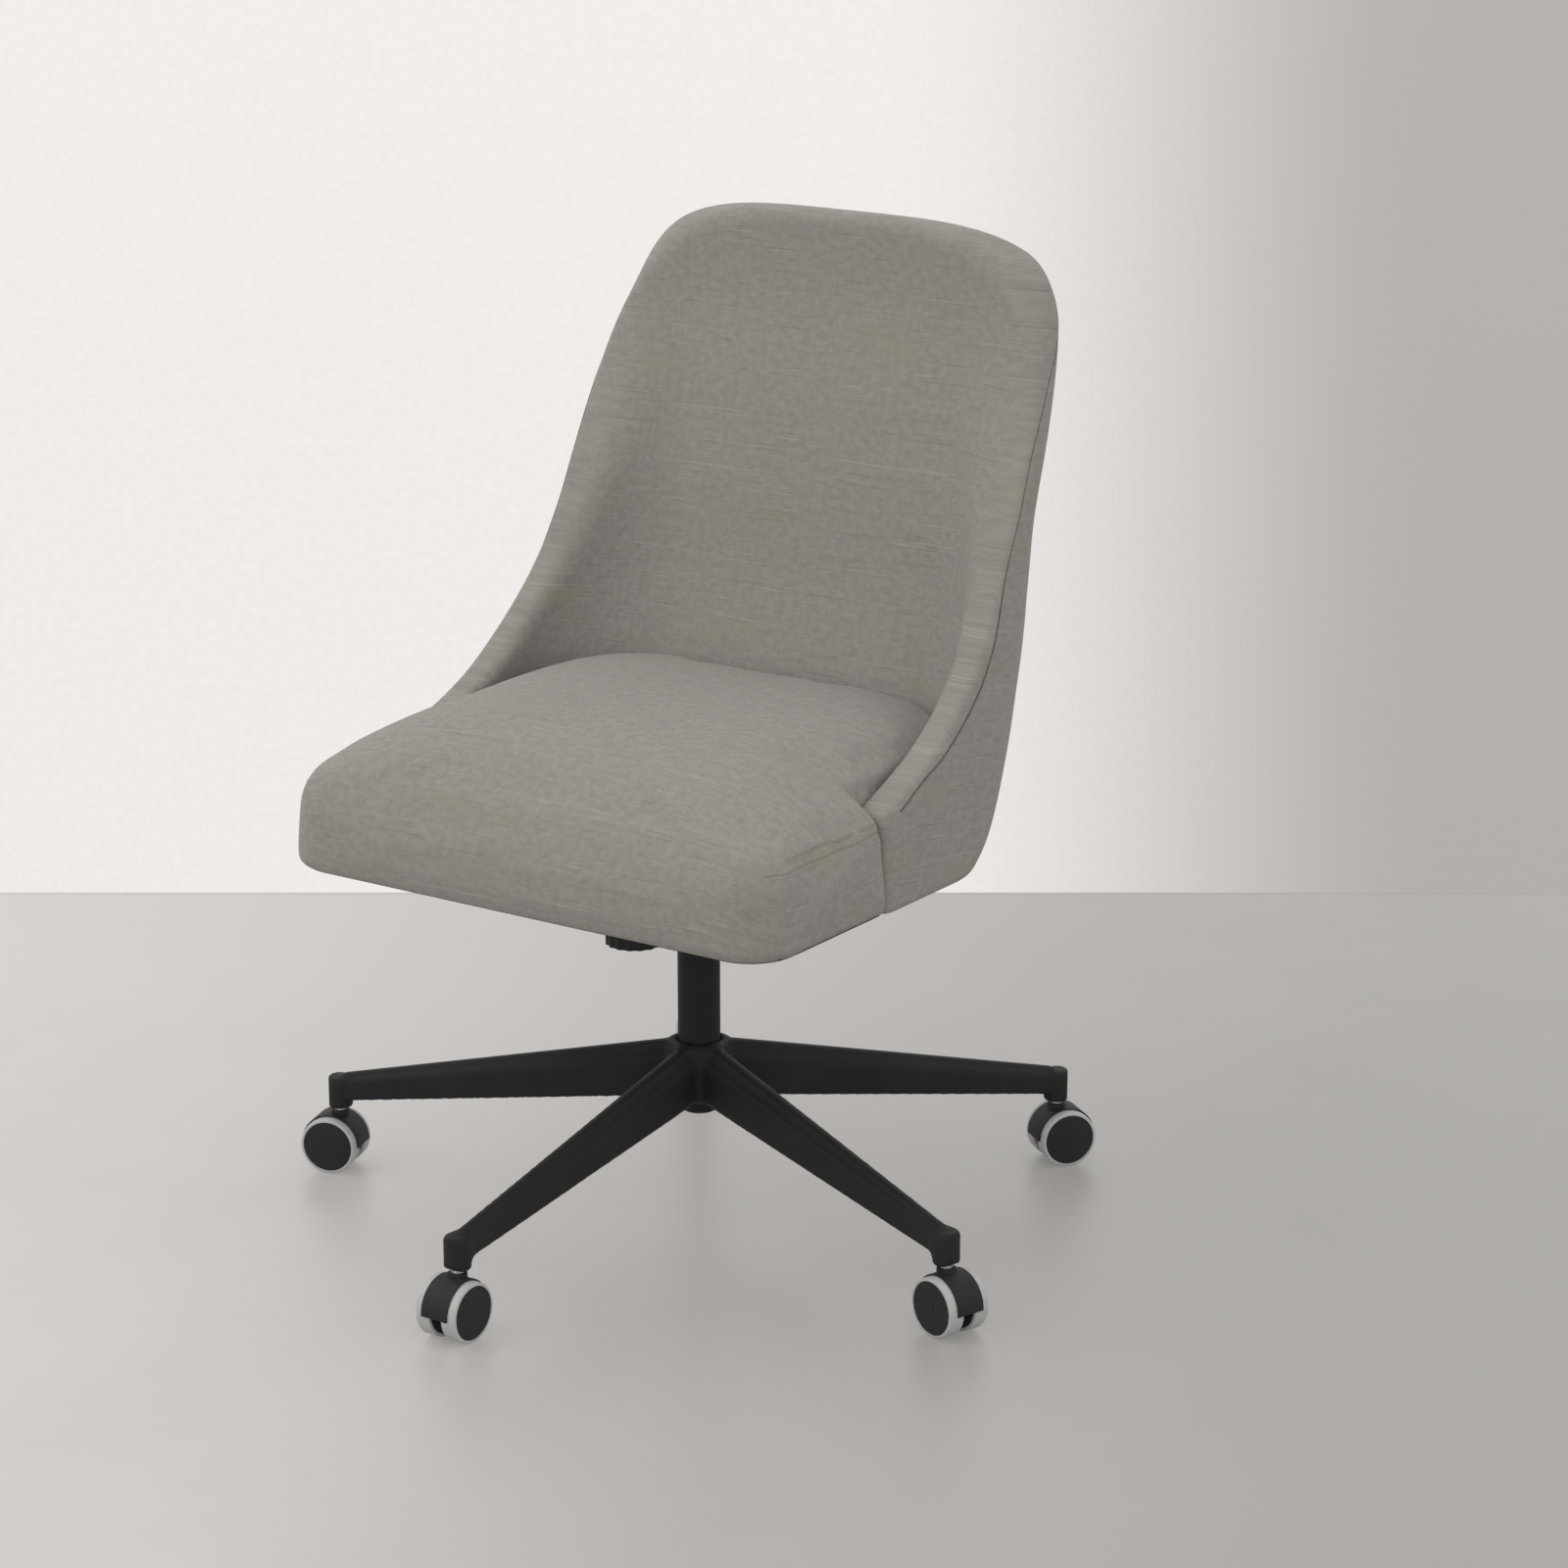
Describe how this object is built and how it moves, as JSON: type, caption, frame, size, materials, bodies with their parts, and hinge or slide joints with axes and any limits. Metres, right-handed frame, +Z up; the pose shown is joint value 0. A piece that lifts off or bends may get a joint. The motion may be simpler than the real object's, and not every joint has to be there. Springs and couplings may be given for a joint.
{
  "type": "swivel office chair",
  "caption": "Upholstered swivel desk chair with a low-winged bucket shell, crowned seat, gas lift, tilt mechanism and a slim star base on twin-wheel castors.",
  "frame": {"origin": "on the floor, at the middle of the chair's overall length and width, 30 mm in front of the column axis", "axes": "+Z up; -Y the way the sitter faces; +X to the sitter's left"},
  "size_m": [0.6956, 0.663, 0.8291],
  "materials": {
    "base_casting": "black satin powder coat on an aluminium casting",
    "black_tube": "black satin powder coat",
    "black_plastic": "fine-grained black nylon",
    "grey_tread": "soft light grey polyurethane",
    "bright_steel": "zinc-plated steel",
    "dark_steel": "black paint on pressed steel",
    "plywood": "bare birch plywood",
    "seat_fabric": "warm grey linen weave with slubs",
    "dust_cloth": "black non-woven cloth"
  },
  "bodies": {
    "base": {"star_base": "base_casting", "column_tube": "black_tube", "guide_bush": "black_plastic", "thrust_bearing": "bright_steel", "castor_stem_1": "bright_steel", "castor_stem_2": "bright_steel", "castor_stem_3": "bright_steel", "castor_stem_4": "bright_steel", "castor_stem_5": "bright_steel"},
    "piston_rod": {"piston_rod": "bright_steel", "retaining_clip": "bright_steel"},
    "lift": {"gas_cylinder": "dark_steel", "mechanism_housing": "dark_steel", "tilt_pin": "bright_steel", "tilt_spring": "bright_steel"},
    "valve_button": {"valve_button": "bright_steel"},
    "lever_bush": {"lever_bush": "black_plastic"},
    "lever": {"lever_rod": "dark_steel", "lever_grip": "black_plastic"},
    "seat": {"seat_plate": "dark_steel", "tension_bolt": "bright_steel", "seat_board": "plywood", "seat_cushion": "seat_fabric", "back_frame": "plywood", "back_pad": "seat_fabric", "back_cover": "seat_fabric", "dust_cover": "dust_cloth"},
    "tension_washer": {"tension_washer": "bright_steel"},
    "tension_knob": {"tension_knob": "black_plastic"},
    "castor_1": {"castor_hood_1": "black_plastic", "castor_axle_1": "bright_steel"},
    "castor_1_wheel_a": {"castor_wheel_1a": "black_plastic", "castor_tread_1a": "grey_tread"},
    "castor_1_wheel_b": {"castor_wheel_1b": "black_plastic", "castor_tread_1b": "grey_tread"},
    "castor_2": {"castor_hood_2": "black_plastic", "castor_axle_2": "bright_steel"},
    "castor_2_wheel_a": {"castor_wheel_2a": "black_plastic", "castor_tread_2a": "grey_tread"},
    "castor_2_wheel_b": {"castor_wheel_2b": "black_plastic", "castor_tread_2b": "grey_tread"},
    "castor_3": {"castor_hood_3": "black_plastic", "castor_axle_3": "bright_steel"},
    "castor_3_wheel_a": {"castor_wheel_3a": "black_plastic", "castor_tread_3a": "grey_tread"},
    "castor_3_wheel_b": {"castor_wheel_3b": "black_plastic", "castor_tread_3b": "grey_tread"},
    "castor_4": {"castor_hood_4": "black_plastic", "castor_axle_4": "bright_steel"},
    "castor_4_wheel_a": {"castor_wheel_4a": "black_plastic", "castor_tread_4a": "grey_tread"},
    "castor_4_wheel_b": {"castor_wheel_4b": "black_plastic", "castor_tread_4b": "grey_tread"},
    "castor_5": {"castor_hood_5": "black_plastic", "castor_axle_5": "bright_steel"},
    "castor_5_wheel_a": {"castor_wheel_5a": "black_plastic", "castor_tread_5a": "grey_tread"},
    "castor_5_wheel_b": {"castor_wheel_5b": "black_plastic", "castor_tread_5b": "grey_tread"}
  },
  "joints": [
    {"name": "seat_swivel", "type": "hinge", "parent": "base", "child": "piston_rod", "pos_m": [0, 0.0299, 0.1], "axis": [0, 0, 1], "continuous": true},
    {"name": "gas_lift", "type": "slide", "parent": "piston_rod", "child": "lift", "axis": [0, 0, 1], "range_m": [0, 0.085]},
    {"name": "lift_lever", "type": "hinge", "parent": "lift", "child": "lever_bush", "pos_m": [-0.024, 0.0299, 0.3086], "axis": [0, 1, 0], "range_deg": [0, 6]},
    {"name": "tilt_lock", "type": "slide", "parent": "lever_bush", "child": "lever", "axis": [-1, 0, 0], "range_m": [0, 0.012]},
    {"name": "valve_press", "type": "slide", "parent": "lift", "child": "valve_button", "axis": [0, 0, 1], "range_m": [-0.0032, 0]},
    {"name": "seat_tilt", "type": "hinge", "parent": "lift", "child": "seat", "pos_m": [0, 0.0059, 0.2881], "axis": [-1, 0, 0], "range_deg": [0, 10], "stiffness_Nm_per_rad": 180, "springref_deg": -5.73, "deforming": ["tilt_spring"]},
    {"name": "tension_travel", "type": "slide", "parent": "seat", "child": "tension_washer", "axis": [0, 0, 1], "range_m": [-0.0031, 0.0031]},
    {"name": "tension_turn", "type": "hinge", "parent": "tension_washer", "child": "tension_knob", "pos_m": [0, -0.0601, 0.2631], "axis": [0, 0, 1], "range_deg": [-720, 720]},
    {"name": "castor_swivel_1", "type": "hinge", "parent": "base", "child": "castor_1", "pos_m": [0, -0.3001, 0.0539], "axis": [0, 0, 1], "continuous": true},
    {"name": "wheel_roll_1a", "type": "hinge", "parent": "castor_1", "child": "castor_1_wheel_a", "pos_m": [0, -0.3051, 0.025], "axis": [1, 0, 0], "continuous": true},
    {"name": "wheel_roll_1b", "type": "hinge", "parent": "castor_1", "child": "castor_1_wheel_b", "pos_m": [0, -0.3051, 0.025], "axis": [1, 0, 0], "continuous": true},
    {"name": "castor_swivel_2", "type": "hinge", "parent": "base", "child": "castor_2", "pos_m": [0.31385, -0.07207, 0.0539], "axis": [0, 0, 1], "continuous": true},
    {"name": "wheel_roll_2a", "type": "hinge", "parent": "castor_2", "child": "castor_2_wheel_a", "pos_m": [0.3186, -0.07362, 0.025], "axis": [0.309, 0.9511, 0], "continuous": true},
    {"name": "wheel_roll_2b", "type": "hinge", "parent": "castor_2", "child": "castor_2_wheel_b", "pos_m": [0.3186, -0.07362, 0.025], "axis": [0.309, 0.9511, 0], "continuous": true},
    {"name": "castor_swivel_3", "type": "hinge", "parent": "base", "child": "castor_3", "pos_m": [0.19397, 0.29688, 0.0539], "axis": [0, 0, 1], "continuous": true},
    {"name": "wheel_roll_3a", "type": "hinge", "parent": "castor_3", "child": "castor_3_wheel_a", "pos_m": [0.19691, 0.30093, 0.025], "axis": [-0.809, 0.5878, 0], "continuous": true},
    {"name": "wheel_roll_3b", "type": "hinge", "parent": "castor_3", "child": "castor_3_wheel_b", "pos_m": [0.19691, 0.30093, 0.025], "axis": [-0.809, 0.5878, 0], "continuous": true},
    {"name": "castor_swivel_4", "type": "hinge", "parent": "base", "child": "castor_4", "pos_m": [-0.19397, 0.29688, 0.0539], "axis": [0, 0, 1], "continuous": true},
    {"name": "wheel_roll_4a", "type": "hinge", "parent": "castor_4", "child": "castor_4_wheel_a", "pos_m": [-0.19691, 0.30093, 0.025], "axis": [-0.809, -0.5878, 0], "continuous": true},
    {"name": "wheel_roll_4b", "type": "hinge", "parent": "castor_4", "child": "castor_4_wheel_b", "pos_m": [-0.19691, 0.30093, 0.025], "axis": [-0.809, -0.5878, 0], "continuous": true},
    {"name": "castor_swivel_5", "type": "hinge", "parent": "base", "child": "castor_5", "pos_m": [-0.31385, -0.07207, 0.0539], "axis": [0, 0, 1], "continuous": true},
    {"name": "wheel_roll_5a", "type": "hinge", "parent": "castor_5", "child": "castor_5_wheel_a", "pos_m": [-0.3186, -0.07362, 0.025], "axis": [0.309, -0.9511, 0], "continuous": true},
    {"name": "wheel_roll_5b", "type": "hinge", "parent": "castor_5", "child": "castor_5_wheel_b", "pos_m": [-0.3186, -0.07362, 0.025], "axis": [0.309, -0.9511, 0], "continuous": true}
  ],
  "couplings": [
    {"joint": "valve_press", "follows": "lift_lever", "m_per_rad": -0.028},
    {"joint": "tension_travel", "follows": "tension_turn", "m_per_rad": 0.00023873}
  ]
}
